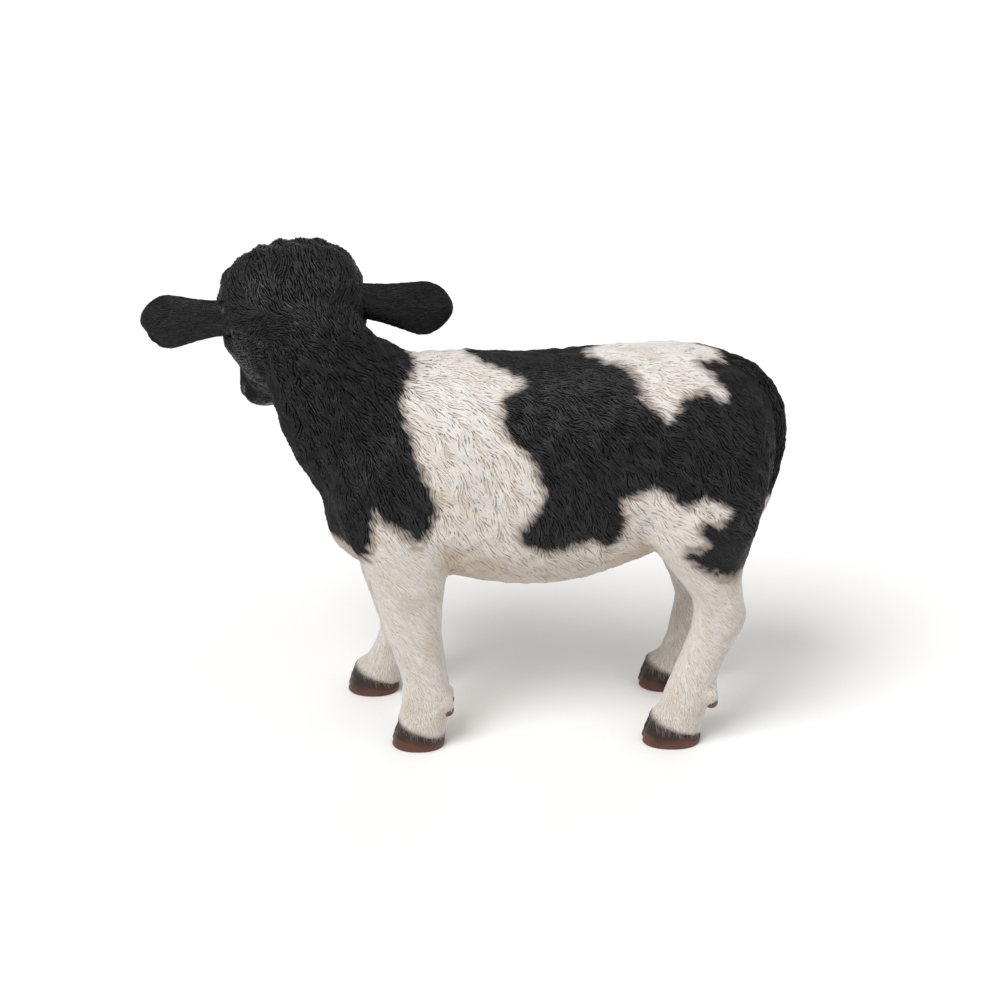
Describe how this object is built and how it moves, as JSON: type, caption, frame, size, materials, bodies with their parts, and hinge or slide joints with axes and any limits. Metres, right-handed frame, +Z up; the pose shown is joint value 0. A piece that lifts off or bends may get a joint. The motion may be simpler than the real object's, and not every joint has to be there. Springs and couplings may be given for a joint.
{
  "type": "calf statue",
  "caption": "Standing Holstein calf statue in painted cast resin, head turned to its right, with tooled fur, cloven hooves and glossy eyes.",
  "frame": {"origin": "on the floor, under the centre of the bounding box", "axes": "+Z up, +X towards the calf's tail, -Y to the calf's left side"},
  "size_m": [0.3818, 0.1374, 0.3043],
  "materials": {
    "coat": "airbrushed satin over tooled fur",
    "black_coat": "airbrushed satin over tooled fur",
    "horn": "satin",
    "eye": "glossy"
  },
  "bodies": {
    "root": {"head": "black_coat", "neck": "black_coat", "trunk": "coat", "tail": "black_coat", "ear_left": "black_coat", "ear_right": "black_coat", "eye_left": "eye", "eye_right": "eye", "leg_front_left": "coat", "hoof_front_left": "horn", "dewclaw_front_left_inner": "horn", "dewclaw_front_left_outer": "horn", "leg_front_right": "coat", "hoof_front_right": "horn", "dewclaw_front_right_inner": "horn", "dewclaw_front_right_outer": "horn", "leg_hind_left": "coat", "hoof_hind_left": "horn", "dewclaw_hind_left_inner": "horn", "dewclaw_hind_left_outer": "horn", "leg_hind_right": "coat", "hoof_hind_right": "horn", "dewclaw_hind_right_inner": "horn", "dewclaw_hind_right_outer": "horn"}
  },
  "joints": []
}
